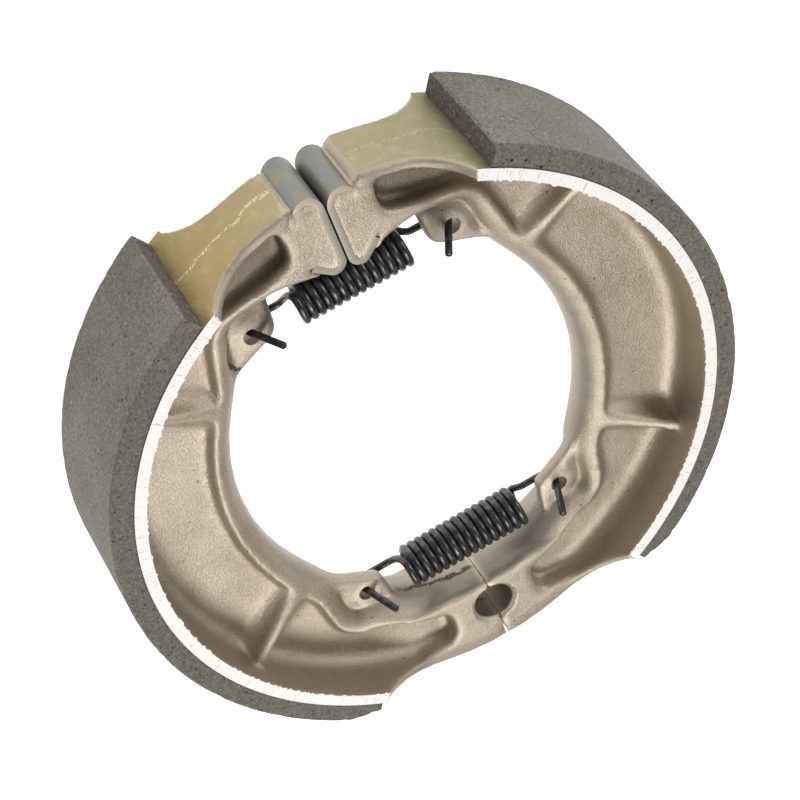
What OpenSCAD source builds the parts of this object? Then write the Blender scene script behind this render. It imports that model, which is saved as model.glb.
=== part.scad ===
// Pair of drum brake shoes held together by two return springs.
// Millimetres. The drum axis is Z, the shoes lie flat on z = 0, the cam end
// is at +Y and the anchor end at -Y. The right shoe is at +X, and the left
// one is its mirror image.

/* [Drum] */
// Inside diameter of the brake drum that the linings run in
drum_d = 130; // [126:1:136]
// Width of the shoes along the drum axis
shoe_w = 28; // [26:0.5:32]

/* [Linings] */
// Thickness of a lining
lining_t = 4.4; // [3.8:0.2:5.2]
// How far a lining stops short of the rim's machined edge, each side
lining_inset = 0.3; // [0.1:0.1:0.8]
// Angle from the middle of the shoe to the lining's end at the cam
lining_cam_a = 59.5; // [56:0.5:61]
// Angle from the middle of the shoe to the lining's end at the anchor
lining_anchor_a = 58.5; // [55:0.5:59.5]
// Length of the lead-in ground on the lining's anchor end
lead_in_l = 8; // [5:0.5:12]
// Thickness left at the tip of the lead-in
lead_in_t = 2; // [1:0.2:3]
// Bevel along the lining's long edges and across its cam end
lining_bevel = 0.5; // [0.2:0.1:1]
// Thickness of the adhesive between lining and rim
glue_t = 0.05; // [0.02:0.01:0.1]

/* [Shoe castings] */
// Thickness of the rim that carries the lining
rim_t = 2.3; // [2:0.1:3]
// Angle from the middle of the shoe to the rim's end at the cam
rim_cam_a = 62.5; // [61.5:0.5:64]
// Angle from the middle of the shoe to the rim's end at the anchor
rim_anchor_a = 60; // [59.5:0.5:61]
// How far each rim's arc centre lies past the drum axis with the shoes closed
arc_offset = 2.8; // [2:0.1:3.4]
// Width of the cam and anchor blocks along the drum axis
block_w = 14.8; // [13:0.2:17]
// Radius of the sweep in which the rim narrows to the cam block
cam_sweep_r = 13; // [10:0.5:16]
// Radius of the sweep in which the rim narrows to the anchor block
anchor_sweep_r = 20; // [16:0.5:22]
// Thickness of the web
web_t = 6; // [4:0.2:8]
// Radius of the fillets between web and rim
web_fillet = 3; // [1.5:0.5:4]
// Depth of the shoe at its middle, from the rim's outer face to the inner edge
shoe_depth = 23.4; // [22:0.2:26]
// How far the inner edge's arc centre lies past the rim's arc centre
inner_offset = 9.8; // [8:0.2:12]
// Gap between the two castings at the anchor
split_gap = 0.5; // [0.5:0.05:0.8]

/* [Bead, ribs and spring ears] */
// Width of the raised bead along the inner edge
bead_w = 5.2; // [4.6:0.2:5.6]
// Height of the bead along the inner edge, both sides of the web together
bead_h = 11; // [9:0.2:13]
// Angle from the middle of the shoe to the rib at the cam end
cam_rib_a = 37; // [34:0.5:40]
// Angle from the middle of the shoe to the rib at the anchor end
anchor_rib_a = 32; // [28:0.5:35]
// Height of a rib over the web where it starts at the bead
rib_h = 2.2; // [1.5:0.1:3]
// How much higher a rib is where it meets the rim
rib_rise = 4.4; // [2:0.2:6]
// Width of a rib's crest
rib_crest_w = 2.4; // [1.6:0.2:3.4]
// Radius of the fillets beside a rib
rib_fillet = 4; // [2:0.5:5]
// Thickness of the ears that the springs hook into
ear_t = 3.4; // [2.6:0.1:4]
// Diameter of the spring holes
hole_d = 3.4; // [3.4:0.1:4]

/* [Anchor end] */
// Diameter of the anchor pin's bore, which the two shoes share
anchor_d = 8; // [7:0.1:9]
// Distance from the rim's outer circle in to the anchor bore's axis
anchor_depth = 10.7; // [10.2:0.1:12]
// Bevel at the ends of the anchor bore
anchor_bevel = 0.8; // [0.4:0.1:1]
// Height of the anchor block's inner wall over the bore's axis
anchor_wall = 6.5; // [5.5:0.1:7.5]

/* [Cam end] */
// Thickness of the steel slippers that the cam turns against
slipper_t = 1.3; // [1:0.1:1.5]
// Gap between the two slippers
slipper_gap = 0.3; // [0.2:0.05:0.6]
// Length of a slipper's flat face
slipper_face_l = 14; // [12:0.5:15]
// Distance from the rim's outer circle in to the middle of that face
cam_depth = 9.4; // [9:0.1:10]
// Clearance between a slipper and its seat
seat_clear = 0.05; // [0.02:0.01:0.1]

/* [Return springs] */
// Diameter of the spring wire
wire_d = 1.3; // [1.1:0.05:1.4]
// Outside diameter of the coils
coil_d = 8.6; // [8:0.1:9]
// Distance between neighbouring turns
coil_pitch = 1.6; // [1.5:0.05:1.7]
// Turns of the spring at the anchor end
anchor_turns = 15; // [12:1:16]
// Turns of the spring at the cam end
cam_turns = 13; // [10:1:14]
// Height of the coils' axes over the middle of the shoes
coil_rise = 1.8; // [1:0.1:2.4]
// Lean of the anchor end's hooks toward the middle of their spring, in degrees
anchor_hook_lean = 18; // [10:1:25]
// Lean of the cam end's hooks toward the middle of their spring, in degrees
cam_hook_lean = 25; // [15:1:26]
// Height of the anchor end's hook tips over the ears
anchor_hook_h = 7.7; // [5:0.1:9]
// Height of the cam end's hook tips over the ears
cam_hook_h = 6.4; // [4:0.1:8]

/* [Hidden] */
$fn = 96;

casting_colour = [0.72, 0.66, 0.58];
lining_colour = [0.38, 0.38, 0.35];
slipper_colour = [0.55, 0.60, 0.60];
spring_colour = [0.16, 0.16, 0.17];

// A cut runs this far past the face that it opens
past = 1;
mid_z = shoe_w / 2;
rim_r = drum_d / 2 - lining_t;
rim_inner_r = rim_r - rim_t;
web_top = mid_z + web_t / 2;
block_top = mid_z + block_w / 2;
side_step = (shoe_w - block_w) / 2;

// The bead's centre line is an arc between the ears
bead_x = -arc_offset - inner_offset;
bead_r = rim_r - shoe_depth + inner_offset + bead_w / 2;
bead_cam_a = 29;
bead_anchor_a = 27;

// Centres that the end blocks, the ears and the springs are placed from
anchor_y = anchor_depth - rim_r;
cam_y = rim_r - cam_depth;
anchor_hole = [21.5, anchor_y + 15.8];
cam_hole = [20.2, cam_y - 15];
anchor_coil_y = anchor_hole[1] - 0.5;
cam_coil_y = cam_hole[1] + 0.9;

function unit(v) = v / norm(v);
function plan(p) = [p[0], p[1]];
function polar(r, a) = r * [cos(a), sin(a)];
function turned(p, a) = [p[0] * cos(a) - p[1] * sin(a), p[0] * sin(a) + p[1] * cos(a)];

// A corner is [x, y, radius]. bend() gives the arc that rounds corner q on the
// way from p to s, as [centre, first point from the centre, angle turned]
function bend(p, q, s) =
    let (u = unit(plan(p) - plan(q)),
         v = unit(plan(s) - plan(q)),
         half = acos(u * v) / 2,
         centre = plan(q) + unit(u + v) * q[2] / sin(half),
         first = plan(q) + u * q[2] / tan(half) - centre)
    [centre, first, (180 - 2 * half) * sign(u[1] * v[0] - u[0] * v[1])];

function reverse(p) = [for (i = [len(p) - 1:-1:0]) p[i]];

arc_step = 7;
function arc_points(b) =
    let (n = max(2, ceil(abs(b[2]) / arc_step)))
    [for (i = [0:n]) b[0] + turned(b[1], b[2] * i / n)];
function rounded(p, q, s) = q[2] == 0 ? [plan(q)] : arc_points(bend(p, q, s));

// The points of a closed outline and of an open route with rounded corners
function outline(c) =
    let (n = len(c))
    [for (i = [0:n - 1]) each rounded(c[(i + n - 1) % n], c[i], c[(i + 1) % n])];
function route(c) =
    let (n = len(c))
    [plan(c[0]), for (i = [1:n - 2]) each rounded(c[i - 1], c[i], c[i + 1]), plan(c[n - 1])];

// A strip of sheet of thickness t that follows the points p, as an outline
function side_way(p, i) =
    let (w = unit(p[min(i + 1, len(p) - 1)] - p[max(i - 1, 0)])) [-w[1], w[0]];
function strip(p, t) = concat(
    [for (i = [0:len(p) - 1]) p[i] + side_way(p, i) * t / 2],
    [for (i = [len(p) - 1:-1:0]) p[i] - side_way(p, i) * t / 2]);

// Bead: its centre line runs from the cam block round the cam ear, along the
// inner edge, round the anchor ear and into the anchor block
bead_c = [bead_x, 0];
bead_half = (bead_cam_a + bead_anchor_a) / 2;
bead_mid = bead_c + polar(bead_r / cos(bead_half), (bead_cam_a - bead_anchor_a) / 2);
bead_cam_turn = bead_c + polar(bead_r, bead_cam_a) + polar(5, 90 + bead_cam_a);
bead_anchor_turn = bead_c + polar(bead_r, -bead_anchor_a) - polar(6, 90 - bead_anchor_a);
bead_line = route([
    [5, cam_y - 4.6, 0],
    [15, cam_y - 6, 20],
    [cam_hole[0] + 4.6, cam_hole[1] + 7.1, 6],
    [bead_cam_turn[0], bead_cam_turn[1], 8],
    [bead_mid[0], bead_mid[1], bead_r],
    [bead_anchor_turn[0], bead_anchor_turn[1], 6],
    [anchor_hole[0] + 5.9, anchor_hole[1] - 4.6, 4],
    [anchor_hole[0] - 0.9, anchor_hole[1] - 5.3, 10],
    [12, anchor_y + 6, 10],
    [4, anchor_y + 3.6, 0]]);

// Section of the bead: out from its centre line, and up as a share of half its
// height. The hub's side is round, and the web's side is steep
bead_section = let (r = bead_h / 2, last = acos(1 - (bead_w - 0.8) / r)) concat(
    [for (i = [-3:3]) [r * (1 - cos(last * i / 3)) - bead_w / 2, sin(last * i / 3)]],
    [[bead_w / 2 - 0.3, 0.88], [bead_w / 2, 0.62], [bead_w / 2, -0.62], [bead_w / 2 - 0.3, -0.88]]);

// Length run along the points p up to each of them
function run(p) = [for (i = 0, s = 0; i < len(p); s = s + norm(p[min(i + 1, len(p) - 1)] - p[i]), i = i + 1) s];
function smooth(t) = let (u = min(max(t, 0), 1)) u * u * (3 - 2 * u);

// The bead is as high as the blocks at its ends and sinks over this length
bead_fall_from = 12;
bead_fall_l = 16;
module bead() {
    n = len(bead_line);
    m = len(bead_section);
    s = run(bead_line);
    from_end = [for (i = [0:n - 1]) min(s[i], s[n - 1] - s[i])];
    half_h = [for (f = from_end)
        block_w / 2 + (bead_h - block_w) / 2 * smooth((f - bead_fall_from) / bead_fall_l)];
    rings = [for (i = [0:n - 1], q = bead_section)
        let (w = bead_line[i] + q[0] * side_way(bead_line, i)) [w[0], w[1], mid_z + q[1] * half_h[i]]];
    walls = [for (i = [0:n - 2], k = [0:m - 1])
        let (a = i * m + k, b = i * m + (k + 1) % m) [a, b, b + m, a + m]];
    polyhedron(rings, concat(walls, [[for (k = [m - 1:-1:0]) k]], [[for (k = [0:m - 1]) (n - 1) * m + k]]));
}

// The blocks' faces lie this far inside those of the outer wall
lap = 0.04;
module block_disc() { translate([-arc_offset, 0]) circle(rim_r - lap, $fn = 180); }

// What lies on the hub's side of the bead
module hub_side() { polygon(concat([[0, cam_y]], bead_line, [[0, anchor_y]])); }

module arc_frame() { translate([-arc_offset, 0, 0]) children(); }

// Points of a fillet's hollow of radius r about c. Its end at the web is left
// out, and the straight line that takes its place ends sunk below the web
sunk = 0.3;
function hollow(c, r, wall_a, web_a) =
    [for (i = [0:4]) c + polar(r, wall_a + (web_a - wall_a) * i / 5), c + polar(r + sunk, web_a)];

// Rim and outer wall, with a fillet to each face of the web. They end inside
// the two blocks, at angle rim_end_a from the middle of the shoe
rim_end_a = 80;
module ring() {
    fillet_x = rim_inner_r - web_fillet;
    arc_frame() rotate([0, 0, -rim_end_a]) rotate_extrude(angle = 2 * rim_end_a)
        polygon(concat(
            [[rim_inner_r, 0], [rim_r, 0], [rim_r, shoe_w], [rim_inner_r, shoe_w]],
            hollow([fillet_x, web_top + web_fillet], web_fillet, 0, -90),
            reverse(hollow([fillet_x, web_top - web_t - web_fillet], web_fillet, 0, 90))));
}

// Cut that narrows the outer wall from the rim's width at angle a to the
// block's width, in a sweep of radius r
module end_sweep(a, r) {
    side = sign(a);
    step = side_step - lap;
    sweep_l = sqrt(r * r - (r - step) * (r - step));
    tangent_a = a + side * sweep_l / rim_r * 180 / PI;
    arc_frame() rotate([0, 0, tangent_a]) rotate([90, 0, 90]) linear_extrude(rim_r + past)
        for (z = [-1, 1]) {
            translate([0, mid_z + z * (block_w / 2 + lap + r)]) circle(r);
            translate([side > 0 ? 0 : -rim_r, z > 0 ? block_top + lap : -r])
                square([rim_r, r + step]);
        }
}

module rim() {
    difference() {
        ring();
        end_sweep(rim_cam_a, cam_sweep_r);
        end_sweep(-rim_anchor_a, anchor_sweep_r);
    }
}

module web() {
    translate([0, 0, mid_z - web_t / 2]) linear_extrude(web_t) difference() {
        translate([-arc_offset, 0]) circle(rim_r - rim_t / 2, $fn = 180);
        hub_side();
        translate([-2 * rim_r, -rim_r - past]) square([2 * rim_r + 3, 2 * (rim_r + past)]);
    }
}

// Rib from the bead out to the rim at angle a, on both sides of the web
module rib(a) {
    from_r = sqrt(bead_r * bead_r - pow(inner_offset * sin(a), 2)) - inner_offset * cos(a)
        + bead_w / 4;
    rib_l = rim_inner_r + rim_t / 2 - from_r;
    low = web_t / 2 + rib_h;
    high = low + rib_rise;
    crest = rib_crest_w / 2;
    side = hollow([crest + rib_fillet, web_t / 2 + rib_fillet], rib_fillet, -180, -90);
    half = concat(reverse(side), [[crest, high + past]]);
    arc_frame() rotate([0, 0, a]) translate([from_r, 0, mid_z]) intersection() {
        rotate([90, 0, 90]) linear_extrude(rib_l) polygon(concat(
            half,
            reverse([for (q = half) [-q[0], q[1]]]),
            [for (q = half) -q],
            reverse([for (q = half) [q[0], -q[1]]])));
        rotate([90, 0, 0]) translate([0, 0, -rib_l]) linear_extrude(2 * rib_l)
            polygon([[0, -low], [rib_l, -high], [rib_l, high], [0, low]]);
    }
}

// Cam block: solid up to the pocket that starts between bead and outer wall
pocket_x = 9;
module cam_block() {
    low_y = cam_y - slipper_end;
    high_y = cam_y + slipper_end;
    pocket = [[pocket_x, cam_y + 6.5, 3], [pocket_x, cam_y - 1.6, 2.8], [40, cam_y - 12.5, 0],
              [40, cam_y + 6.5, 0]];
    translate([0, 0, block_top - block_w]) linear_extrude(block_w) difference() {
        intersection() {
            block_disc();
            polygon([[1.2, low_y - 0.6], [5.6, low_y - 0.5], [9, low_y + 0.4], [18, cam_y - 4.7],
                     [18, rim_r], [2.6, rim_r], [2.6, high_y - 0.1], [1.2, high_y - 0.1]]);
        }
        polygon(outline(pocket));
    }
}

// Anchor block: half of the anchor pin's seat, and the pocket beside it
module anchor_block() {
    wall_y = anchor_y + anchor_wall;
    pocket = [[pocket_x, anchor_y - 4.4, 3.2], [pocket_x, anchor_y + 3.6, 2.6],
              [16.5, anchor_y + 6.4, 0], [40, anchor_y + 6.4, 0], [40, anchor_y - 4.4, 0]];
    edge = [[split_gap / 2, anchor_y - 12, 0], [17.5, anchor_y - 12, 0], [17.5, anchor_y + 6.5, 0],
            [9.5, wall_y + 0.4, 4], [5, wall_y - 0.4, 6], [split_gap / 2, wall_y - 0.2, 0]];
    translate([0, 0, block_top - block_w]) linear_extrude(block_w) difference() {
        intersection() {
            block_disc();
            polygon(outline(edge));
        }
        polygon(outline(pocket));
    }
}

// Ears: thin tongues inside the bead, flush with the web's upper face
module ears() {
    anchor_ear = [
        anchor_hole + [-4.2, 1.7], anchor_hole + [-5.1, -5.4], anchor_hole + [1, -5.5],
        anchor_hole + [6, -4], anchor_hole + [7, 2], anchor_hole + [10.6, 12.6],
        anchor_hole + [9.6, 13.4], anchor_hole + [3.6, 6.2]];
    anchor_r = [1.6, 1.5, 0, 0, 0, 0, 0, 10];
    cam_ear = [
        cam_hole + [-5.3, 6.5], cam_hole + [-4.7, -2.2], cam_hole + [5, -6.6], cam_hole + [10, -11],
        cam_hole + [9, 0], cam_hole + [3, 8]];
    cam_r = [0, 3.5, 10, 0, 0, 0];
    translate([0, 0, web_top - ear_t]) linear_extrude(ear_t) {
        polygon(outline([for (i = [0:len(anchor_ear) - 1]) concat(anchor_ear[i], anchor_r[i])]));
        polygon(outline([for (i = [0:len(cam_ear) - 1]) concat(cam_ear[i], cam_r[i])]));
    }
}

// Slipper: a strip of sheet steel clipped round the nose of the cam block,
// with a flat face for the cam and a rolled hook at each end
slipper_x = (slipper_gap + slipper_t) / 2;
slipper_end = slipper_face_l / 2;
slipper_route = route([
    [slipper_x + 5.5, cam_y - slipper_end + 2.2, 0],
    [slipper_x + 1.8, cam_y - slipper_end - 1, 1.2],
    [slipper_x, cam_y - slipper_end, 1.6],
    [slipper_x, cam_y + slipper_end, 1.6],
    [slipper_x + 1.8, cam_y + slipper_end + 2.3, 1.2],
    [slipper_x + 4.2, cam_y + slipper_end + 1.1, 1],
    [slipper_x + 5.1, cam_y + slipper_end - 1.8, 0]]);

module slipper() {
    translate([0, 0, block_top - block_w]) linear_extrude(block_w)
        polygon(strip(slipper_route, slipper_t));
}

// The nose that the slipper wraps, and the groove cut for the slipper
module nose() {
    translate([0, 0, block_top - block_w]) linear_extrude(block_w) polygon(slipper_route);
}

module slipper_groove() {
    past_x = slipper_x + slipper_t / 2;
    translate([0, 0, block_top - block_w - past]) linear_extrude(block_w + 2 * past) {
        polygon(strip(slipper_route, slipper_t + 2 * seat_clear));
        translate([0, cam_y - slipper_end]) square([past_x, 2 * slipper_end]);
    }
}

module anchor_bore() {
    translate([0, anchor_y, -past]) cylinder(d = anchor_d, h = shoe_w + 2 * past);
    for (z = [block_top - block_w, block_top])
        translate([0, anchor_y, z]) {
            if (z > mid_z) translate([0, 0, -anchor_bevel])
                cylinder(d1 = anchor_d, d2 = anchor_d + 4 * anchor_bevel, h = 2 * anchor_bevel);
            else translate([0, 0, -anchor_bevel])
                cylinder(d1 = anchor_d + 4 * anchor_bevel, d2 = anchor_d, h = 2 * anchor_bevel);
        }
}

module casting() {
    difference() {
        union() {
            rib(cam_rib_a);
            rib(-anchor_rib_a);
            rim();
            web();
            bead();
            cam_block();
            nose();
            anchor_block();
            ears();
        }
        anchor_bore();
        slipper_groove();
        for (hole = [anchor_hole, cam_hole])
            translate([hole[0], hole[1], web_top - ear_t - past])
                cylinder(d = hole_d, h = ear_t + 2 * past, $fn = 48);
    }
}

// Lining: a moulded segment glued on the rim, with a lead-in at its anchor end
module lining() {
    inner = rim_r + glue_t;
    outer = drum_d / 2;
    lead_a = lead_in_l / outer * 180 / PI;
    lead_tilt = atan((outer - inner - lead_in_t) / lead_in_l);
    arc_frame() difference() {
        rotate([0, 0, -lining_anchor_a]) rotate_extrude(angle = lining_anchor_a + lining_cam_a)
            polygon([
                [inner, lining_inset], [outer - lining_bevel, lining_inset],
                [outer, lining_inset + lining_bevel], [outer, shoe_w - lining_inset - lining_bevel],
                [outer - lining_bevel, shoe_w - lining_inset], [inner, shoe_w - lining_inset]]);
        rotate([0, 0, -lining_anchor_a]) translate([inner + lead_in_t, 0, -past])
            rotate([0, 0, -lead_tilt]) translate([0, -shoe_w, 0])
                cube([lining_t * 2, shoe_w + outer * sin(lead_a) * 1.2, shoe_w + 2 * past]);
        rotate([0, 0, lining_cam_a]) translate([outer, 0, -past]) rotate([0, 0, 45])
            translate([-lining_bevel, -lining_bevel, 0])
                cube([2 * lining_bevel, 2 * lining_bevel, shoe_w + 2 * past]);
    }
}

// Springs: a close-wound coil whose ends run out below the ears and turn up
// through the spring holes as hooks
wire_sides = 8;
turn_steps = 12;
coil_r = (coil_d - wire_d) / 2;
coil_z = mid_z + coil_rise;
hook_z = web_top - ear_t - wire_d / 2 - 0.25;

function bezier(a, b, c, d, n) =
    [for (i = [1:n]) let (t = i / n, s = 1 - t)
        s * s * s * a + 3 * s * s * t * b + 3 * s * t * t * c + t * t * t * d];

function coil_point(y, turns, a) =
    [coil_pitch * a / 360 - coil_pitch * turns / 2, y + coil_r * cos(a), coil_z + coil_r * sin(a)];
function coil_way(a) = [coil_pitch / (2 * PI * coil_r), -sin(a), cos(a)];

// The hook at one end: from the coil's last point p, which heads along way, out
// to the hole, under the ear and up through it. side is 1 at the right end
function hook(p, way, hole, tilt, tip_h, side) =
    let (lean = [-side * sin(tilt), 0, cos(tilt)],
         hole_z = web_top - ear_t / 2,
         through = [side * hole[0], hole[1], hole_z],
         low = through - lean * (hole_z - hook_z) / cos(tilt),
         start = [p[0] + side * 3, hole[1], hook_z],
         bend_r = 1.6,
         turn_in = low - [side * bend_r, 0, 0],
         turn_out = low + lean * bend_r)
    concat(bezier(p, p + way * 3, start - [side * 2, 0, 0], start, 7),
           bezier(turn_in, low, low, turn_out, 5),
           [through + lean * (web_top - hole_z + tip_h) / cos(tilt)]);

first_a = 50;
last_a = -110;
function spring_path(y, hole, turns, tilt, tip_h) =
    let (end_a = 360 * turns + last_a + 360,
         n = round((end_a - first_a) / 360 * turn_steps),
         p = [for (i = [0:n]) coil_point(y, turns + 0.6, first_a + (end_a - first_a) * i / n)],
         left = hook(p[0], -coil_way(first_a), hole, tilt, tip_h, -1),
         right = hook(p[n], coil_way(end_a), hole, tilt, tip_h, 1))
    concat([for (i = [len(left) - 1:-1:0]) left[i]], p, right);

function path_way(p, i) = unit(p[min(i + 1, len(p) - 1)] - p[max(i - 1, 0)]);
function carried(n, way) = unit(n - (n * way) * way);

// Sweeps a round wire of diameter d along the points p
module wire(p, d) {
    n = len(p);
    ways = [for (i = [0:n - 1]) path_way(p, i)];
    ups = [for (i = 0, u = carried([0, 1, 0], ways[0]); i < n;
                u = carried(u, ways[min(i + 1, n - 1)]), i = i + 1) u];
    rings = [for (i = [0:n - 1], k = [0:wire_sides - 1])
        let (a = 360 * k / wire_sides)
        p[i] + d / 2 * (cos(a) * ups[i] + sin(a) * cross(ways[i], ups[i]))];
    walls = [for (i = [0:n - 2], k = [0:wire_sides - 1])
        let (a = i * wire_sides + k, b = i * wire_sides + (k + 1) % wire_sides)
        [a, a + wire_sides, b + wire_sides, b]];
    first_end = [for (k = [0:wire_sides - 1]) k];
    last_end = [for (k = [wire_sides - 1:-1:0]) (n - 1) * wire_sides + k];
    polyhedron(rings, concat(walls, [first_end, last_end]));
}

module right_shoe() { color(casting_colour) casting(); }
module left_shoe() { color(casting_colour) mirror([1, 0, 0]) casting(); }
module right_lining() { color(lining_colour) lining(); }
module left_lining() { color(lining_colour) mirror([1, 0, 0]) lining(); }
module right_cam_slipper() { color(slipper_colour) slipper(); }
module left_cam_slipper() { color(slipper_colour) mirror([1, 0, 0]) slipper(); }
module cam_end_spring() {
    color(spring_colour)
        wire(spring_path(cam_coil_y, cam_hole, cam_turns, cam_hook_lean, cam_hook_h), wire_d);
}
module anchor_end_spring() {
    color(spring_colour)
        wire(spring_path(anchor_coil_y, anchor_hole, anchor_turns, anchor_hook_lean, anchor_hook_h),
             wire_d);
}

right_shoe();
left_shoe();
right_lining();
left_lining();
right_cam_slipper();
left_cam_slipper();
cam_end_spring();
anchor_end_spring();
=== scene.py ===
import math

import bpy
import numpy as np
from mathutils import Matrix, Vector, noise


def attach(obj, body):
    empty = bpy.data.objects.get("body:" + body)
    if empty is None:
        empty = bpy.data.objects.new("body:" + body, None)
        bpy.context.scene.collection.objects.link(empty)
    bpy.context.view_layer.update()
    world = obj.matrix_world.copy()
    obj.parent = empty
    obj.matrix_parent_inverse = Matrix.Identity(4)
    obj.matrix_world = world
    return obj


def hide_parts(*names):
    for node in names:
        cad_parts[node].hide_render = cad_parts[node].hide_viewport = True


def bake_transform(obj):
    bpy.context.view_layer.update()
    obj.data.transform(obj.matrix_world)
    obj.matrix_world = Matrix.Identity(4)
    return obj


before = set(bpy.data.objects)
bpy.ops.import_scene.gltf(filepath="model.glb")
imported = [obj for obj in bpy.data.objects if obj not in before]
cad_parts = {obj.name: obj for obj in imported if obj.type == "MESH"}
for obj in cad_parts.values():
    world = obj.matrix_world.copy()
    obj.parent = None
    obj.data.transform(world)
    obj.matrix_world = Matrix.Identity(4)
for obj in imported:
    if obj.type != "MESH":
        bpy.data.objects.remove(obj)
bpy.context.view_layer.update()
scene = bpy.context.scene

# Studio: the pair lies on a plain white table, and the camera looks down on it
# from beyond the cam end with the picture turned, as the photographer held it.
# A soft light hangs over the anchor end and a weaker one stands at the cam end.
camera_right = Vector((0.86611, -0.29310, 0.40490))
camera_up = Vector((0.48709, 0.67673, -0.55207))
camera_back = camera_right.cross(camera_up)
camera = bpy.data.objects.new("camera", bpy.data.cameras.new("camera"))
camera_place = (-0.05497, 0.33255, 0.36958)
camera.data.lens = 118.72
camera.data.sensor_width = 36
turn = Matrix((camera_right, camera_up, camera_back)).transposed().to_4x4()
camera.matrix_world = Matrix.Translation(camera_place) @ turn
scene.collection.objects.link(camera)
scene.camera = camera
scene.view_settings.view_transform = "Standard"

world = bpy.data.worlds.new("studio")
world.use_nodes = True
backdrop = world.node_tree.nodes["Background"]
backdrop.inputs["Color"].default_value = (1, 0.99, 0.97, 1)
scene.world = world

# The tent's walls are brighter than its roof
wall_glow, roof_glow, roof_height = 0.75, 0.22, 0.6
way_out = world.node_tree.nodes.new("ShaderNodeTexCoord")
height = world.node_tree.nodes.new("ShaderNodeSeparateXYZ")
glow = world.node_tree.nodes.new("ShaderNodeMapRange")
glow.inputs["From Min"].default_value = 0.0
glow.inputs["From Max"].default_value = roof_height
glow.inputs["To Min"].default_value = wall_glow
glow.inputs["To Max"].default_value = roof_glow
world.node_tree.links.new(way_out.outputs["Generated"], height.inputs[0])
world.node_tree.links.new(height.outputs["Z"], glow.inputs["Value"])
world.node_tree.links.new(glow.outputs[0], backdrop.inputs["Strength"])


def softbox(name, place, size, power):
    lamp = bpy.data.lights.new(name, "AREA")
    lamp.shape = "DISK"
    lamp.size = size
    lamp.energy = power
    holder = bpy.data.objects.new(name, lamp)
    holder.location = place
    holder.rotation_euler = (-Vector(place)).to_track_quat("-Z", "Y").to_euler()
    scene.collection.objects.link(holder)


softbox("key_light", place=(-0.32, -0.42, 0.88), size=0.36, power=6.4)
softbox("side_light", place=(0.73, 0.42, 0.55), size=0.3, power=3.4)

table_half = 4
under_shoes = 0.00005
table_corners = [(x * table_half, y * table_half, 0) for x, y in ((-1, -1), (1, -1), (1, 1), (-1, 1))]
table_mesh = bpy.data.meshes.new("table")
table_mesh.from_pydata(table_corners, [], [(0, 1, 2, 3)])
table = bpy.data.objects.new("table", table_mesh)
table.location.z = -under_shoes
scene.collection.objects.link(table)


class Value:
    """A number that varies over a surface. Sums with it add Math nodes."""

    def __init__(self, finish, socket):
        self.finish = finish
        self.socket = socket

    def math(self, operation, first, second=0.0):
        return self.finish.node("Math", {0: first, 1: second}, {"operation": operation})

    def __add__(self, other):
        return self.math("ADD", self, other)

    def __radd__(self, other):
        return self.math("ADD", other, self)

    def __sub__(self, other):
        return self.math("SUBTRACT", self, other)

    def __rsub__(self, other):
        return self.math("SUBTRACT", other, self)

    def __mul__(self, other):
        return self.math("MULTIPLY", self, other)

    def __rmul__(self, other):
        return self.math("MULTIPLY", other, self)

    def __truediv__(self, other):
        return self.math("DIVIDE", self, other)

    def __pow__(self, other):
        return self.math("POWER", self, other)

    def __abs__(self):
        return self.math("ABSOLUTE", self)

    def ramp(self, low, high):
        """0 below low and 1 above high, with a smooth step between. It falls
        where low is the larger of the two."""
        ends = {"Value": self, "From Min": low, "From Max": high}
        return self.finish.node("MapRange", ends, {"interpolation_type": "SMOOTHSTEP"})


class Finish:
    """A material. Its places and lengths are in millimetres."""

    def __init__(self, name):
        self.material = bpy.data.materials.new(name)
        self.material.use_nodes = True
        self.tree = self.material.node_tree
        self.surface = self.tree.nodes["Principled BSDF"]
        metres = self.node("TexCoord", {}, output="Object")
        self.place = self.node("VectorMath", {0: metres, "Scale": 1000.0}, {"operation": "SCALE"})
        self.x, self.y, self.z = (
            self.node("SeparateXYZ", {0: self.place}, output=axis) for axis in "XYZ")

    def node(self, kind, inputs, settings=None, output=0):
        made = self.tree.nodes.new("ShaderNode" + kind)
        for key, setting in (settings or {}).items():
            setattr(made, key, setting)
        for key, value in inputs.items():
            self.feed(made.inputs[key], value)
        return Value(self, made.outputs[output])

    def feed(self, socket, value):
        if isinstance(value, Value):
            self.tree.links.new(value.socket, socket)
        else:
            socket.default_value = value

    def set(self, **values):
        for name, value in values.items():
            self.feed(self.surface.inputs[name.replace("_", " ")], value)

    def at(self, x, y, z):
        return self.node("CombineXYZ", {0: x, 1: y, 2: z})

    def cloud(self, size, detail=3.0, place=None, roughness=0.5):
        """Soft noise about 0.5, with blotches of about this size."""
        inputs = {"Vector": place or self.place, "Scale": 1 / size, "Detail": detail,
                  "Roughness": roughness}
        return self.node("TexNoise", inputs)

    def cells(self, size, place=None):
        """Distance to the nearest of scattered points, as a share of their spacing."""
        return self.node("TexVoronoi", {"Vector": place or self.place, "Scale": 1 / size})

    def mix(self, share, first, second):
        inputs = {0: share, 6: first, 7: second}
        return self.node("Mix", inputs, {"data_type": "RGBA"}, output=2)

    def relief(self, height, depth, strength=1.0):
        """Raises the surface by height times depth in millimetres."""
        inputs = {"Height": height, "Distance": depth / 1000, "Strength": strength}
        self.set(Normal=self.node("Bump", inputs))


def colour(red, green, blue):
    """A colour given as it shows on a screen, from 0 to 255."""
    return tuple(((c / 255 + 0.055) / 1.055) ** 2.4 for c in (red, green, blue)) + (1.0,)


white_table = Finish("white_table")
white_table.set(Base_Color=colour(250, 250, 250), Roughness=0.9,
                Emission_Color=(1, 1, 1, 1), Emission_Strength=0.9)
table_mesh.materials.append(white_table.material)


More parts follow.
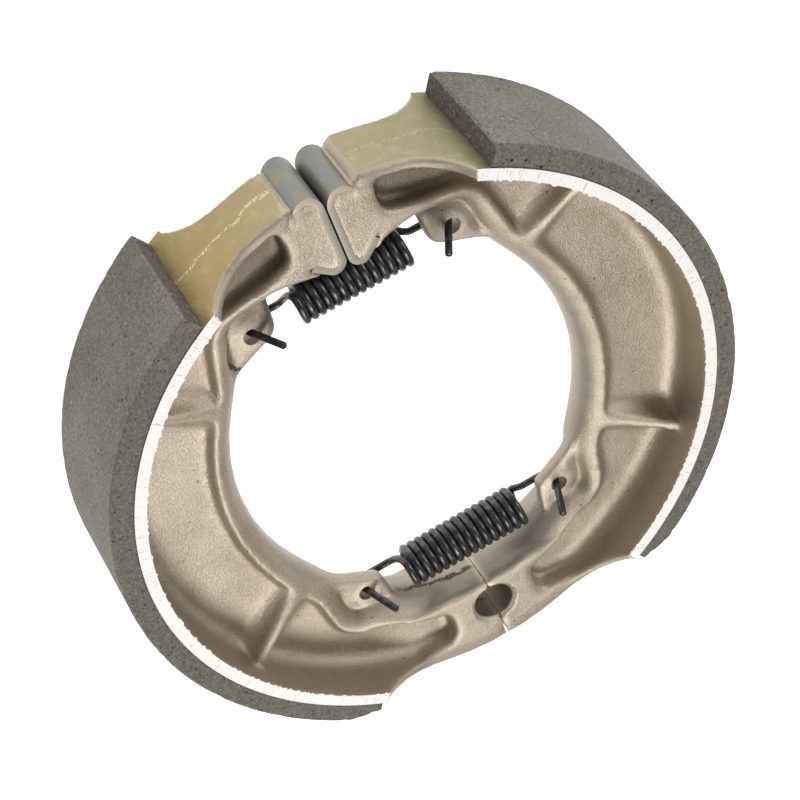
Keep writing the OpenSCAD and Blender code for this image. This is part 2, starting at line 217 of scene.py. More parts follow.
# Shoe castings: die-cast aluminium, shot-blasted all over, with the rim's edges
# and the split faces machined. The blank is skinned afresh, so that its corners
# round off and fill as in a die, while the machined faces stay flat and sharp.
skin = 0.5
rim_r = 60.6
rim_inner_r = 58.3
arc_offset = 2.8
shoe_w = 28.0
anchor_y = -49.9
bore_r = 4.0
split_x = 0.25
cam_y = 51.2
spring_holes = ((21.5, -34.1), (20.2, 36.2))
hole_r = 1.7
hole_zone_r = 3
web_top = 17.0
ear_t = 3.4
block_half = 7.4
bore_bevel = 0.8
lining_reach_a = 57

blank_object = bpy.data.objects.new("blank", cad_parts["right_shoe"].data.copy())
half_skin = Matrix.Translation((0, 0, skin / 2))
blank_object.data.transform(half_skin @ Matrix.Scale(1000, 4))
scene.collection.objects.link(blank_object)
skinning = blank_object.modifiers.new("skin", "REMESH")
skinning.mode = "VOXEL"
skinning.voxel_size = skin
blank = bpy.data.meshes.new_from_object(
    blank_object.evaluated_get(bpy.context.evaluated_depsgraph_get()))
bpy.data.objects.remove(blank_object)
blank.transform(half_skin.inverted())


def column_values(items, name, width, kind=float):
    listed = np.zeros(len(items) * width, kind)
    items.foreach_get(name, listed)
    return listed.reshape(-1, width)


points = column_values(blank.vertices, "co", 3)
edges = column_values(blank.edges, "vertices", 2, int)
corners = column_values(blank.loops, "vertex_index", 1, int)[:, 0]
starts = column_values(blank.polygons, "loop_start", 1, int)[:, 0]
blank_faces = [tuple(f) for f in np.split(corners, starts[1:])]
count = len(points)
degree = np.bincount(edges.ravel(), minlength=count)


def around(values):
    """Mean of the neighbours' values, for each point of the blank."""
    total = np.empty_like(values)
    for i in range(values.shape[1]):
        total[:, i] = (np.bincount(edges[:, 0], values[edges[:, 1], i], count)
                       + np.bincount(edges[:, 1], values[edges[:, 0], i], count))
    return total / degree[:, None]


def blur(values, passes):
    for _ in range(passes):
        values = around(values)
    return values


def settle(shape, share, passes):
    """Draws each point, by its own share, towards the middle of its neighbours."""
    for _ in range(passes):
        shape = shape + 0.5 * share * (around(shape) - shape)
    return shape


from_arc = np.hypot(points[:, 0] + arc_offset, points[:, 1])
from_middle = np.abs(points[:, 2] - shoe_w / 2)
from_bore = np.hypot(points[:, 0], points[:, 1] - anchor_y)
from_hole = np.min([np.hypot(points[:, 0] - x, points[:, 1] - y) for x, y in spring_holes], axis=0)

# Depth of each point below the machined faces
below_edge = shoe_w / 2 - from_middle
below_outer = rim_r - from_arc
below_wall = from_arc - rim_inner_r
below_split = points[:, 0] - split_x
below_bore = from_bore - bore_r

# A point counts as on a face within flat of it, and as at a corner within near
flat = 0.05
near = 0.3
wall_band = 1
turned_points_a = np.degrees(np.arctan2(points[:, 1], points[:, 0] + arc_offset))
under_lining = np.abs(turned_points_a) < lining_reach_a
machined = ((np.abs(below_edge) < flat) | ((np.abs(below_outer) < flat) & under_lining)
            | (np.abs(below_split) < flat) | (np.abs(below_bore) < flat)
            | ((np.abs(below_wall) < flat) & (below_edge < wall_band)))


def corner(first, second):
    return (first > flat) & (first < near) & (second > -flat) & (second < near)


outer_corners = corner(below_edge, below_outer)
wall_corners = corner(below_edge, below_wall)
edge_corners = outer_corners | wall_corners
bore_corners = corner(below_split, below_bore)

# The bevels at the bore's ends and the rims of the drilled holes are drawn on
# their true cones and circles
bevel_low = block_half - bore_bevel
bevel_slack = 0.2
past_bevel = (from_bore - bore_r) - (from_middle - bevel_low)
on_bevel = (np.abs(past_bevel) < near) & (from_bore < bore_r + bore_bevel + skin / 2)
on_bevel &= from_middle > bevel_low - bevel_slack
hole_wall = np.abs(from_hole - hole_r) < near
hole_wall &= (points[:, 2] > web_top - ear_t - near) & (points[:, 2] < web_top + near)

# The nose that the slipper is clipped on moves little. It reaches up to the
# rolled end, and at its foot it follows the slope of the slipper's leg
nose_depth = 6.3
nose_half_l = 11
roll_depth = 5
roll_below = 2
foot_from = 3.2
foot_x, foot_y = 2.6, cam_y - 8.5
foot_slope = 0.865
foot_line = foot_y + (points[:, 0] - foot_x) * foot_slope
nose_ease = 0.25
slipper_seat = (points[:, 0] < nose_depth) & (np.abs(points[:, 1] - cam_y) < nose_half_l)
slipper_seat &= (points[:, 0] < roll_depth) | (below_outer > roll_below)
slipper_seat &= (points[:, 0] < foot_from) | (points[:, 1] > foot_line)
seat_face = slipper_seat & (from_middle > block_half - near - flat)
fixed = machined | edge_corners | bore_corners | on_bevel | hole_wall | seat_face

# The long edges of the end blocks are rounded further than the rest
edge_band = 1.5
edge_from = 3
block_edge = ~under_lining & (below_outer < edge_band) & (from_middle > edge_from)

ease = np.where(fixed, 0, np.where(slipper_seat, nose_ease, 1.0))[:, None]
shape = points.copy()
bevel_r = np.clip(from_bore - past_bevel / 2, bore_r, bore_r + bore_bevel)
grown = (bevel_r / from_bore)[on_bevel, None]
shape[on_bevel, :2] = (0, anchor_y) + (points[on_bevel, :2] - (0, anchor_y)) * grown
bevel_z = bevel_r - bore_r + bevel_low
shape[on_bevel, 2] = (shoe_w / 2 + np.sign(points[:, 2] - shoe_w / 2) * bevel_z)[on_bevel]
for hole in spring_holes:
    away = points[:, :2] - hole
    here = hole_wall & (np.hypot(away[:, 0], away[:, 1]) < hole_zone_r)
    shape[here, :2] = hole + away[here] * (hole_r / np.hypot(away[here, 0], away[here, 1]))[:, None]
    for face_z in (web_top, web_top - ear_t):
        rim = here & (np.abs(points[:, 2] - face_z) < near)
        shape[rim, 2] = face_z
shape[seat_face, 2] = (shoe_w / 2 + np.sign(points[:, 2] - shoe_w / 2) * block_half)[seat_face]
shape = settle(shape, ease, 7)
shape = settle(shape, ease * block_edge[:, None], 14)


def outward(shape):
    blank.vertices.foreach_set("co", shape.ravel())
    blank.update()
    return column_values(blank.vertex_normals, "vector", 3)


def sunk_below(level, shape):
    """How far each point lies below this level, along its own normal."""
    return np.sum((level - shape) * outward(shape), axis=1)[:, None]


# Inner corners fill and the bead's crests blunt, less so close to the ears,
# where a valley is left round each ear instead
full_fillet = 0.012
bead_outer_r = 56
ear_r = 5
ear_fade = 4
ear_fill = 0.15
valley_r = 5.2
valley_half = 2.6
valley_depth = 1.1
valley_from = 0.002
valley_full = 0.01
facing_up = 0.3
hollow = blur(sunk_below(around(shape), shape), 6)
by_ear = np.clip((from_hole - ear_r) / ear_fade, ear_fill, 1)[:, None]
fill = np.clip(hollow / full_fillet, 0, 1) * by_ear
crest = np.clip(-hollow / full_fillet, 0, 1) * (from_arc < bead_outer_r)[:, None]
valley = np.clip((hollow - valley_from) / valley_full, 0, 1)
valley *= outward(shape)[:, 2:] > facing_up
valley *= 1 - np.clip(np.abs(from_hole - valley_r) / valley_half, 0, 1)[:, None]
shape[:, 2:] -= valley_depth * ease * blur(valley, 3)
shape = settle(shape, ease * (crest + fill), 5)
shape = settle(shape, ease * crest, 7)

# The corners of the machined faces are drawn out to a sharp edge, and the
# cutter has pushed small burrs over the inner one
burr_l = 0.3
burr_density = 1.26
burr_share = 0.22
side = np.sign(shape[:, 2] - shoe_w / 2)
shape[edge_corners, 2] = (shoe_w / 2 + side * shoe_w / 2)[edge_corners]
for chosen, radius in ((outer_corners, rim_r), (wall_corners, rim_inner_r)):
    centred = shape[chosen, :2] + (arc_offset, 0)
    burr = np.array([noise.noise(Vector((x, y, 0)) * burr_density) > burr_share for x, y in centred])
    edge_r = radius - burr_l * burr * (radius < rim_r)
    grown = edge_r / np.hypot(centred[:, 0], centred[:, 1])
    shape[chosen, :2] = centred * grown[:, None] - (arc_offset, 0)
shape[bore_corners, 0] = split_x

# The halves close up towards the hub, where they only part. Beyond the pin they
# leave a wedge open, which shuts as the shoes swing apart
closed_x = 0.1
wedge_x = 0.03
wedge_slope = 0.0218
on_split = np.abs(shape[:, 0] - split_x) < flat
closed = on_split & (shape[:, 1] > anchor_y + 1)
wedge = on_split & (shape[:, 1] < anchor_y - 1)
shape[closed, 0] = closed_x
shape[wedge, 0] = np.minimum(split_x, wedge_x + wedge_slope * (anchor_y - shape[wedge, 1]))

# The block stands close up to the rolled end of the slipper, so that only a
# crease is left between them
crease_x = (3.9, 4.4, 5.4, 6.4)
crease_y = (59.0, 59.1, 59.35, 59.7)
notch_bottom = 56.2
zone_x = (3.4, 7.6)
zone_bottom = 54.6
crease = (shape[:, 0] > crease_x[0]) & (shape[:, 0] < crease_x[-1]) & (shape[:, 1] > notch_bottom)
level = np.interp(shape[:, 0], crease_x, crease_y)
shape[crease, 1] = np.maximum(shape[:, 1], level)[crease]
by_crease = (shape[:, 0] > zone_x[0]) & (shape[:, 0] < zone_x[1]) & (shape[:, 1] > zone_bottom)
free_ways = np.column_stack([np.ones(count), np.ones(count), ~seat_face])
shape = settle(shape, 0.8 * by_crease[:, None] * free_ways, 6)

# What the finish needs to know of the shape, to paint shade into its hollows and deep pockets and
# highlights on its crests: where it is hollow, how deep it lies among its surroundings, and which
# walls face the hub
hollow = blur(sunk_below(around(shape), shape), 4)
deep = blur(sunk_below(blur(shape, 70), shape), 6)
centred = shape[:, :2] + (arc_offset, 0)
centred /= np.hypot(centred[:, 0], centred[:, 1])[:, None]
facing_hub = 0.75
to_hub = -np.sum(outward(shape)[:, :2] * centred, axis=1)
hub_side = (to_hub > facing_hub) & (from_arc < bead_outer_r)
hub_side = blur(hub_side[:, None].astype(float), 3)


def mesh_piece(name, points, faces, finish, sharp_angle=40, mirror=False):
    """A piece of the pair, from points in millimetres. A left piece is the
    mirror image of the right one."""
    points = np.array(points, float) / 1000
    if mirror:
        points[:, 0] *= -1
        faces = [f[::-1] for f in faces]
    mesh = bpy.data.meshes.new(name)
    mesh.from_pydata(points.tolist(), [], faces)
    mesh.shade_smooth()
    mesh.set_sharp_from_angle(angle=math.radians(sharp_angle))
    mesh.materials.append(finish.material)
    made = bpy.data.objects.new(name, mesh)
    scene.collection.objects.link(made)
    return made


cast = Finish("shot_blasted_casting")
shade_and_highlight_recess = cast.node("Attribute", {}, {"attribute_name": "shade_and_highlight_recess"}, output="Fac")
depth = cast.node("Attribute", {}, {"attribute_name": "depth"}, output="Fac")
hub_wall = cast.node("Attribute", {}, {"attribute_name": "hub_wall"}, output="Fac")
side_x = abs(cast.x)
radius = ((side_x + arc_offset) ** 2.0 + cast.y ** 2.0) ** 0.5
off_middle = abs(cast.z - shoe_w / 2)

on_left = cast.x.ramp(1, -1)
stain = cast.cloud(9, 4).ramp(0.35, 0.7)
mottle = cast.cloud(2.2, 4, roughness=0.65)
grain = cast.cloud(0.36, 3, roughness=0.75)
pit = cast.cells(2.6).ramp(0.1, 0.04) * cast.cloud(6, 2).ramp(0.5, 0.6)
skin_colour = cast.mix(stain, colour(197, 184, 166), colour(181, 168, 150))
skin_colour = cast.mix(mottle.ramp(0.5, 0.75) * 0.45, skin_colour, colour(180, 165, 144))
skin_colour = cast.mix(grain.ramp(0.5, 0.66) * 0.34, skin_colour, colour(234, 220, 198))
skin_colour = cast.mix(grain.ramp(0.5, 0.34) * 0.34, skin_colour, colour(142, 128, 108))
# Painted shade darkens the hollows, and a painted highlight lightens the crests
skin_colour = cast.mix(shade_and_highlight_recess.ramp(0.01, 0.05) * 0.5, skin_colour, colour(128, 110, 88))
skin_colour = cast.mix(shade_and_highlight_recess.ramp(-0.008, -0.05) * 0.6, skin_colour, colour(240, 226, 204))
# The rim's inner face is painted a greyer olive tone, partly its own tint and partly painted shade
rim_wall_tone_and_shade = radius.ramp(56.6, 57.9) * (1 - off_middle.ramp(13.7, 13.9))
skin_colour = cast.mix(rim_wall_tone_and_shade * 0.6, skin_colour, colour(158, 148, 130))
# Painted shade darkens what lies deep among its surroundings
skin_colour = cast.mix(depth.ramp(1.6, 3.2) * 0.6, skin_colour, colour(96, 84, 70))
# Painted shade darkens the pocket beside the cam block
cam_pocket_shade = (cast.y / radius).ramp(0.8, 0.9) * off_middle.ramp(6.6, 4.8) * radius.ramp(58.2, 57.2)
skin_colour = cast.mix(cam_pocket_shade * 0.65, skin_colour, colour(84, 74, 62))

# The walls that face the hub are painted a darker grey, and a rough line of flash runs along the left
# one, where the die's halves met
flash_z = 15.3 + (mottle - 0.5) * 3.0
flash = abs(cast.z - flash_z).ramp(0.6, 0.2) * hub_wall
flash = flash * on_left * cast.y.ramp(-38, -41)
skin_colour = cast.mix(hub_wall * 0.6, skin_colour, colour(150, 146, 137))
skin_colour = cast.mix(flash * grain.ramp(0.3, 0.5), skin_colour, colour(80, 66, 50))
skin_colour = cast.mix(pit * 0.7, skin_colour, colour(92, 80, 66))
# Painted shade darkens the wall of the pin's bore
pin_r = (cast.x ** 2.0 + (cast.y - anchor_y) ** 2.0) ** 0.5
skin_colour = cast.mix(pin_r.ramp(4.2, 4.05) * 0.6, skin_colour, colour(104, 94, 82))

# A curved cold shut lies beside the left shoe's ear at the cam end
shut_x, shut_y, shut_bend = -23.0, 33.9, 3.1
shut_r = ((cast.x - shut_x) ** 2.0 + (cast.y - shut_y) ** 2.0) ** 0.5
shut = abs(shut_r - shut_bend + (mottle - 0.5) * 2.4).ramp(0.5, 0.2) * cast.x.ramp(-24.2, -24.6)
shut = shut * cast.z.ramp(15, 15.5) * grain.ramp(0.34, 0.46)
skin_colour = cast.mix(shut * 0.85, skin_colour, colour(66, 55, 44))

# Yellow chromate left on the outer faces, stronger on the left shoe and away
# from the slippers, with a pale scratched line where the die's halves met
chromate = radius.ramp(60.3, 60.5) * (1 - off_middle.ramp(13.7, 13.9))
olive = cast.mix(on_left, colour(145, 138, 104), colour(150, 130, 74))
olive = cast.mix(side_x.ramp(26, 6) * 0.5, olive, colour(162, 150, 120))
olive = cast.mix(cast.cloud(3, 4).ramp(0.45, 0.8) * 0.5, olive, colour(178, 168, 126))
olive = cast.mix(grain.ramp(0.5, 0.3) * 0.4, olive, colour(112, 100, 64))
skin_colour = cast.mix(chromate * 0.85, skin_colour, olive)
parting = abs(cast.z - shoe_w / 2 + (cast.cloud(5, 3) - 0.5) * 5.0).ramp(0.55, 0.1)
parting = parting * chromate * grain.ramp(0.4, 0.55) * cast.y.ramp(20, 25)
skin_colour = cast.mix(parting * (0.25 + on_left * 0.5), skin_colour, colour(236, 226, 200))

# Machined edges of the rim, with the cutter's marks across them. They are a near-white non-metal: the
# aluminium's light tone with a painted reflection of the white surroundings
edge_face = off_middle.ramp(13.86, 13.93) * radius.ramp(57.9, 58.1)
turned_a = cast.node("Math", {0: cast.y, 1: side_x + arc_offset}, {"operation": "ARCTAN2"})
across = cast.at(turned_a * 60.0, radius * 0.14, cast.z * 0.1)
cutter = cast.cloud(0.34, 2, place=across)
chatter = cutter.ramp(0.58, 0.72)
machined_white_and_reflection = cast.mix(chatter * 0.6, colour(255, 251, 246), colour(186, 176, 166))
skin_colour = cast.mix(edge_face, skin_colour, machined_white_and_reflection)

as_cast = 1 - edge_face
cast.set(Base_Color=skin_colour, Metallic=as_cast * 0.85, Roughness=0.4 + as_cast * 0.08)
rough_skin = grain * 1.5 + mottle * 1.2 - pit * 2.0 - shut * 2.0 + flash + parting * 0.8
cast.relief(rough_skin * as_cast + cutter * edge_face * 0.4, 0.09)

# The right shoe's nose, with its slipper, was cast a little lower than the left one's
slipper_down = {"right": 0.7, "left": 0.0}
roll_short = {"right": 0.5, "left": 0.0}
nose_end_x = 7.5
nose_fade = 1.5
roll_from = 4
roll_fade = 3
nose = np.clip((nose_end_x - shape[:, 0]) / nose_fade, 0, 1)
nose *= np.abs(shape[:, 1] - cam_y) < nose_half_l + 1
above = np.clip((shape[:, 1] - cam_y - roll_from) / roll_fade, 0, 1)
for side_name, mirrored in (("right", False), ("left", True)):
    side_shape = shape.copy()
    side_shape[:, 1] -= nose * (slipper_down[side_name] + above * roll_short[side_name])
    casting = mesh_piece(side_name + "_casting", side_shape, blank_faces, cast, 38, mirrored)
    for tone_name, tone in (("shade_and_highlight_recess", hollow), ("depth", deep), ("hub_wall", hub_side)):
        painted = casting.data.attributes.new(tone_name, "FLOAT", "POINT")
        painted.data.foreach_set("value", tone[:, 0].astype(np.float32))
    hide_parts(side_name + "_shoe")
    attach(casting, side_name + "_side")


# Linings: a moulded friction compound with mineral fibre and a few brass
# chips, ground to the drum's radius and bonded to the rim. The anchor end is
# ground thin for a soft start, and the grinding leaves small chips and pits.
drum_r = 65.0
lining_inner_r = 60.65
lining_inset = 0.3
lining_bevel = 0.5
lining_cam_a = 59.5
lining_anchor_a = 58.5
lead_in_l = 8.0
lead_in_t = 2.0
grit_step = 0.5

pad_low, pad_high = lining_inset, shoe_w - lining_inset


def between(first, last, step=grit_step):
    number = max(1, round(math.dist(first, last) / step))
    return [tuple(np.array(first) + (np.array(last) - first) * i / number) for i in range(number)]


profile = []
profile_corners = [
    (lining_inner_r, pad_low),
    (drum_r - lining_bevel, pad_low),
    (drum_r, pad_low + lining_bevel),
    (drum_r, pad_high - lining_bevel),
    (drum_r - lining_bevel, pad_high),
    (lining_inner_r, pad_high)]
for first, last in zip(profile_corners, profile_corners[1:] + profile_corners[:1]):
    profile += between(first, last)
profile = np.array(profile)

cuts = round(math.radians(lining_cam_a + lining_anchor_a) * drum_r / grit_step)
angles = np.radians(np.linspace(-lining_anchor_a, lining_cam_a, cuts + 1))
lead_slope = (drum_r - lining_inner_r - lead_in_t) / lead_in_l


def ground_r(angle):
    """Radius that the lining is ground to at this angle."""
    return min(drum_r, lining_inner_r + lead_in_t + (angle - angles[0]) * drum_r * lead_slope)


lining_points = []
for angle in angles:
    end_l = (angles[-1] - angle) * drum_r
    limit = min(ground_r(angle), drum_r - max(0, lining_bevel - end_l))
    for r, z in profile:
        r = min(r, limit)
        lining_points.append((r * math.cos(angle) - arc_offset, r * math.sin(angle), z))
lining_points = np.array(lining_points)
ring = len(profile)

# The edges are worn and chipped: points near an edge sink in, more here than there
wear_reach = 1.1
wear_depth = 0.35
side_reach = 0.9
side_depth = 0.5
side_band = 0.4
glued_t = 0.2
lining_r = np.hypot(lining_points[:, 0] + arc_offset, lining_points[:, 1])
to_outer = np.repeat([ground_r(angle) for angle in angles], ring) - lining_r
to_side = shoe_w / 2 - lining_inset - np.abs(lining_points[:, 2] - shoe_w / 2)
to_end = np.repeat((angles[-1] - angles) * drum_r, ring)
edge_near = np.minimum(np.maximum(to_outer, to_side), np.maximum(to_outer, to_end))
chipping = np.array([
    noise.noise(Vector(p) * 0.5) + 0.5 * noise.noise(Vector(p) * 1.3) for p in lining_points])
sunk = np.clip(wear_reach - edge_near, 0, 1) * np.clip(chipping - 0.05, 0, 1) * wear_depth
sunk[lining_r < lining_inner_r + glued_t] = 0
lining_points[:, :2] -= (lining_points[:, :2] + (arc_offset, 0)) * (sunk / lining_r)[:, None]
side_sunk = np.clip(side_reach - to_outer, 0, 1) * np.clip(chipping, 0, 1) * side_depth
side_sunk *= to_side < side_band
lining_points[:, 2] -= np.sign(lining_points[:, 2] - shoe_w / 2) * side_sunk


def bar_faces(rings, ring):
    """Faces of a closed bar made of so many rings of points, with its two ends."""
    faces = []
    for i in range(rings - 1):
        for k in range(ring):
            on = (k + 1) % ring
            faces.append((i * ring + k, (i + 1) * ring + k, (i + 1) * ring + on, i * ring + on))
    return faces + [tuple(range(ring)), tuple(range((rings - 1) * ring, rings * ring))[::-1]]


lining_faces = bar_faces(len(angles), ring)

friction = Finish("friction_compound")
speck = friction.cloud(0.55, 3, roughness=0.75)
drift = friction.cloud(12, 3)
along_drum = friction.at(friction.x * 0.8, friction.y * 0.8, friction.z * 0.2)
ground = friction.cloud(0.5, 3, place=along_drum)
coarse = friction.cloud(1.6, 3, roughness=0.7)
pits = friction.cells(1.3).ramp(0.2, 0.08)
holes = friction.cells(3.7, friction.at(friction.x, friction.y + 3.0, friction.z)).ramp(0.1, 0.05)
chips = friction.cells(4.3, friction.at(friction.x + 7.0, friction.y, friction.z)).ramp(0.075, 0.03)
pad_colour = friction.mix(drift.ramp(0.3, 0.7), colour(119, 114, 102), colour(104, 100, 89))
moulded = abs(friction.z - shoe_w / 2).ramp(13.3, 13.6)
pad_colour = friction.mix(moulded * 0.7, pad_colour, colour(114, 109, 97))
pad_r = ((abs(friction.x) + arc_offset) ** 2.0 + friction.y ** 2.0) ** 0.5
# Painted shade darkens the lining's end face at the cam end
cam_end = (friction.y / pad_r).ramp(0.8606, 0.8612)
pad_colour = friction.mix(cam_end * 0.8, pad_colour, colour(64, 58, 48))
pad_colour = friction.mix(speck.ramp(0.5, 0.68) * 0.6, pad_colour, colour(150, 146, 134))
pad_colour = friction.mix(speck.ramp(0.5, 0.34) * 0.6, pad_colour, colour(74, 71, 64))
pad_colour = friction.mix(ground.ramp(0.55, 0.8) * 0.4, pad_colour, colour(78, 76, 70))
pad_colour = friction.mix(coarse.ramp(0.5, 0.7) * 0.35, pad_colour, colour(84, 76, 66))
pad_colour = friction.mix(pits * 0.6, pad_colour, colour(58, 55, 50))
pad_colour = friction.mix(holes * 0.9, pad_colour, colour(34, 32, 30))
pad_colour = friction.mix(chips * 0.8, pad_colour, colour(196, 186, 152))
friction.set(Base_Color=pad_colour, Metallic=0.0, Roughness=0.85)
friction.relief(speck + ground * 0.5 + coarse * 0.8 - pits * 1.2 - holes * 2.0, 0.24)

for side_name, mirrored in (("right", False), ("left", True)):
    lining = mesh_piece(
        side_name + "_friction_pad", lining_points, lining_faces, friction, 35, mirrored)
    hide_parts(side_name + "_lining")
    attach(lining, side_name + "_side")


# Slippers: strips of zinc-plated sheet steel, rolled over at both ends and
# clipped round the nose of the cam block, where the cam turns against them.
slipper_t = 1.3
slipper_gap = 0.3
slipper_w = 14.72
slipper_end = 7.0
slipper_round = 0.12
slipper_inner = 0.22
roll_sunk_from = 0.3
slipper_x = (slipper_gap + slipper_t) / 2


def rounded_route(corner_list, step=6):
    """Points along a line whose corners (x, y, radius) are rounded."""
    route = [np.array(corner_list[0][:2])]
    for before, here, after in zip(corner_list, corner_list[1:], corner_list[2:]):
        at = np.array(here[:2])
        back = np.array(before[:2]) - at
        on = np.array(after[:2]) - at
        back, on = back / np.hypot(*back), on / np.hypot(*on)
        half = math.acos(np.clip(back @ on, -1, 1)) / 2
        centre = at + (back + on) / np.hypot(*(back + on)) * here[2] / math.sin(half)
        first = at + back * here[2] / math.tan(half) - centre
        turned = (math.pi - 2 * half) * np.sign(on[0] * back[1] - on[1] * back[0])
        number = max(2, math.ceil(abs(math.degrees(turned)) / step))
        for i in range(number + 1):
            a = turned * i / number
            c, s = math.cos(a), math.sin(a)
            route.append(centre + (first[0] * c - first[1] * s, first[0] * s + first[1] * c))
    return np.array(route + [np.array(corner_list[-1][:2])])


def slipper_mesh(down, shorter):
    """The strip, set down by some millimetres and with its upper roll shorter.
    It starts at the lower leg's tip, and its roll ends where it sinks into the
    block."""
    middle = cam_y - down
    top = middle + slipper_end - shorter
    bottom = middle - slipper_end
    slipper_line = rounded_route([
        (slipper_x + 5.5, bottom + 2.2, 0),
        (slipper_x + 1.8, bottom - 1, 1.2),
        (slipper_x, bottom, 1.6),
        (slipper_x, top, 3.5),
        (slipper_x + 1.8, top + 2.3, 1.8),
        (slipper_x + 4.2, top + 1.1, 2.6),
        (slipper_x + 5.1, top - 1.8, 0)])
    on_roll = (slipper_line[:, 0] > slipper_x + 3) & (slipper_line[:, 1] > middle)
    slipper_line = slipper_line[~on_roll | (slipper_line[:, 1] >= top + roll_sunk_from)]
    along = np.gradient(slipper_line, axis=0)
    along /= np.hypot(along[:, 0], along[:, 1])[:, None]
    aside = np.column_stack([-along[:, 1], along[:, 0]])
    section = []
    for corner_x, corner_z, from_a in ((1, 1, 0), (-1, 1, 90), (-1, -1, 180), (1, -1, 270)):
        middle_u = corner_x * (slipper_t / 2 - slipper_round) - (slipper_inner if corner_x < 0 else 0)
        middle_v = corner_z * (slipper_w / 2 - slipper_round)
        for a in np.radians(from_a + np.array([0, 30, 60, 90])):
            u = middle_u + slipper_round * math.cos(a)
            section.append((u, middle_v + slipper_round * math.sin(a)))
    slipper_points = [
        (*(at + off * u), shoe_w / 2 + v)
        for at, off in zip(slipper_line, aside) for u, v in section]
    slipper_faces = [face[::-1] for face in bar_faces(len(slipper_line), len(section))]
    return slipper_points, slipper_faces


zinc = Finish("zinc_plated_sheet")
film = zinc.cloud(5, 3)
speckle = zinc.cloud(0.5, 3, roughness=0.7)
streak = zinc.cloud(0.5, 3, place=zinc.at(zinc.x, zinc.y, zinc.z * 0.2))
tint = zinc.mix(film.ramp(0.45, 0.7), colour(121, 125, 118), colour(140, 134, 100))
tint = zinc.mix(streak.ramp(0.5, 0.8) * 0.3, tint, colour(148, 151, 143))
tint = zinc.mix(speckle.ramp(0.5, 0.3) * 0.35, tint, colour(112, 118, 118))
cut_edge = abs(zinc.z - shoe_w / 2).ramp(slipper_w / 2 - 0.08, slipper_w / 2 - 0.03)
by_roll = zinc.y.ramp(cam_y + 4.0, cam_y + 7.0)
edge_tint = zinc.mix(by_roll, colour(168, 162, 146), colour(196, 182, 160))
tint = zinc.mix(cut_edge * 0.9, tint, edge_tint)
zinc.set(Base_Color=tint, Metallic=0.6 - cut_edge * 0.2, Roughness=0.42 + speckle * 0.15)
zinc.relief(streak * 0.5 + speckle + film * 0.4, 0.05)

for side_name, mirrored in (("right", False), ("left", True)):
    strip = slipper_mesh(slipper_down[side_name], roll_short[side_name])
    slipper = mesh_piece(side_name + "_slipper", *strip, zinc, 40, mirrored)
    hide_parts(side_name + "_cam_slipper")
    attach(slipper, side_name + "_side")


# Return springs: close-wound dark spring wire. Each end runs out under the
# ear, turns up through its hole and ends in a cut-off tip.
wire_d = 1.6
hook_wire_d = 1.38
coil_d = 8.6
coil_pitch = 1.6
coil_r = (coil_d - wire_d) / 2
coil_z = 15.8
hook_z = web_top - ear_t - wire_d / 2 - 0.25
wire_sides = 14
wire_bevel = 0.18
turn_steps = 40
first_a, last_a = 50, -110
lead_turns = 0.6
hook_bend_r = 1.6
hook_reach = 3
run_steps, bend_steps = 16, 10


def vector(*values):
    return np.array(values, float)


def bezier(a, b, c, d, number):
    t = np.arange(1, number + 1)[:, None] / number
    s = 1 - t
    return s ** 3 * a + 3 * s * s * t * b + 3 * s * t * t * c + t ** 3 * d


def hook(start, way, hole, lean_a, tip_h, side):
    """From the coil's end out to the hole, under the ear and up through it."""
    lean_a = math.radians(lean_a)
    lean = vector(-side * math.sin(lean_a), 0, math.cos(lean_a))
    hole_z = web_top - ear_t / 2
    through = vector(side * hole[0], hole[1], hole_z)
    low_point = through - lean * (hole_z - hook_z) / math.cos(lean_a)
    run_in = vector(start[0] + side * hook_reach, hole[1], hook_z)
    turn_in = low_point - vector(side * hook_bend_r, 0, 0)
    turn_out = low_point + lean * hook_bend_r
    tip = through + lean * (web_top - hole_z + tip_h) / math.cos(lean_a)
    return np.vstack([
        bezier(start, start + way * hook_reach, run_in - vector(side * 2, 0, 0), run_in, run_steps),
        bezier(turn_in, low_point, low_point, turn_out, bend_steps),
        tip[None, :]])


def spring_line(y, hole, turns, lean_a, tip_h):
    end_a = 360 * turns + last_a + 360
    steps = round((end_a - first_a) / 360 * turn_steps)
    a = np.radians(np.linspace(first_a, end_a, steps + 1))
    coil = np.column_stack([
        coil_pitch * a / (2 * math.pi) - coil_pitch * (turns + lead_turns) / 2,
        y + coil_r * np.cos(a),
        coil_z + coil_r * np.sin(a)])

    def way(a):
        return vector(coil_pitch / (2 * math.pi * coil_r), -math.sin(a), math.cos(a))

    left_hook = hook(coil[0], -way(a[0]), hole, lean_a, tip_h, -1)
    right_hook = hook(coil[-1], way(a[-1]), hole, lean_a, tip_h, 1)
    return np.vstack([left_hook[::-1], coil, right_hook])


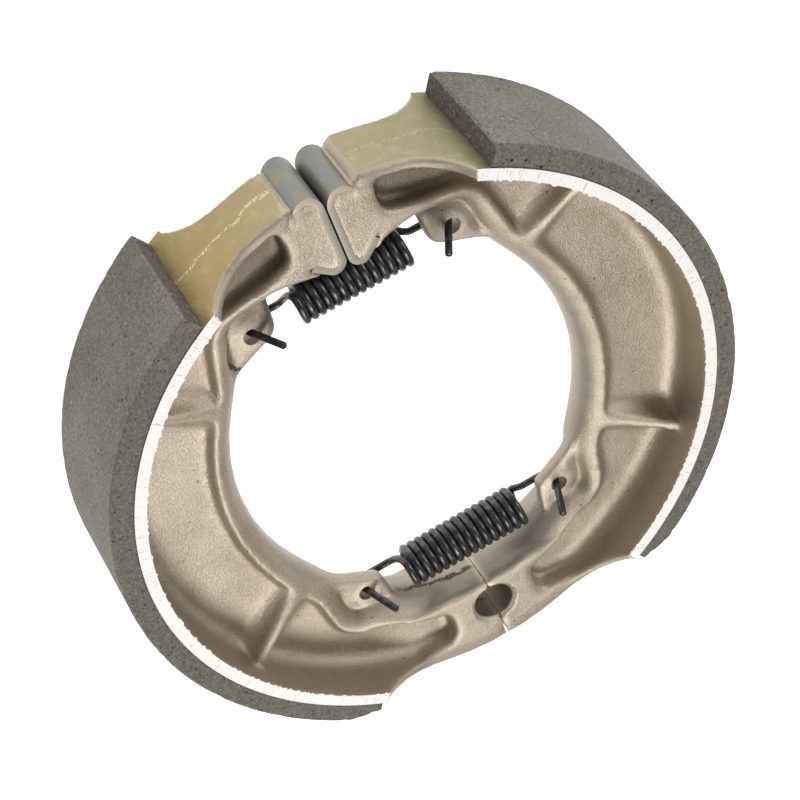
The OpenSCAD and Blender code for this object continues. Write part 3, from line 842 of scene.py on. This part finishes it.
def wire(line, coil_half):
    """Round wire swept along a line, thinner outside the coil and with a small
    bevel at its cut ends."""
    ends = [line[0] + (line[1] - line[0]) / np.linalg.norm(line[1] - line[0]) * wire_bevel,
            line[-1] + (line[-2] - line[-1]) / np.linalg.norm(line[-2] - line[-1]) * wire_bevel]
    line = np.vstack([line[:1], ends[:1], line[1:-1], ends[1:], line[-1:]])
    radii = np.interp(np.abs(line[:, 0]) - coil_half, [0, 2], [wire_d / 2, hook_wire_d / 2])
    radii[[0, -1]] -= wire_bevel
    ways = np.gradient(line, axis=0)
    ways /= np.linalg.norm(ways, axis=1)[:, None]
    up = vector(0, 1, 0)
    wire_points = []
    section = np.linspace(0, 2 * math.pi, wire_sides, endpoint=False)
    for place, way, r in zip(line, ways, radii):
        up = up - (up @ way) * way
        up /= np.linalg.norm(up)
        over = np.cross(way, up)
        wire_points += [place + r * (math.cos(t) * up + math.sin(t) * over) for t in section]
    return wire_points, [face[::-1] for face in bar_faces(len(line), wire_sides)]


spring_steel = Finish("dark_spring_wire")
rub = spring_steel.cloud(1.2, 3)
dust = spring_steel.cloud(0.4, 3, roughness=0.7)
oxide = spring_steel.mix(rub.ramp(0.4, 0.7), colour(64, 64, 65), colour(96, 96, 95))
oxide = spring_steel.mix(dust.ramp(0.58, 0.75) * 0.5, oxide, colour(150, 148, 144))
spring_steel.set(Base_Color=oxide, Metallic=0.8, Roughness=0.24 + rub * 0.2)
spring_steel.relief(dust, 0.04)

# Each spring's coil: its y, its hole, its turns, and how its hooks' tips lean and stand out
for name, node, y, hole, turns, lean_a, tip_h in (
        ("cam_return_spring", "cam_end_spring", 37.1, spring_holes[1], 13, 25, 6.4),
        ("anchor_return_spring", "anchor_end_spring", -34.6, spring_holes[0], 15, 18, 7.7)):
    coil_half = coil_pitch * turns / 2
    wound = wire(spring_line(y, hole, turns, lean_a, tip_h), coil_half)
    spring = mesh_piece(name, *wound, spring_steel, 50)
    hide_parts(node)
    end_x, coil_y, middle_z = coil_half / 1000, y / 1000, shoe_w / 2000
    -end_x
    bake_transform(spring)
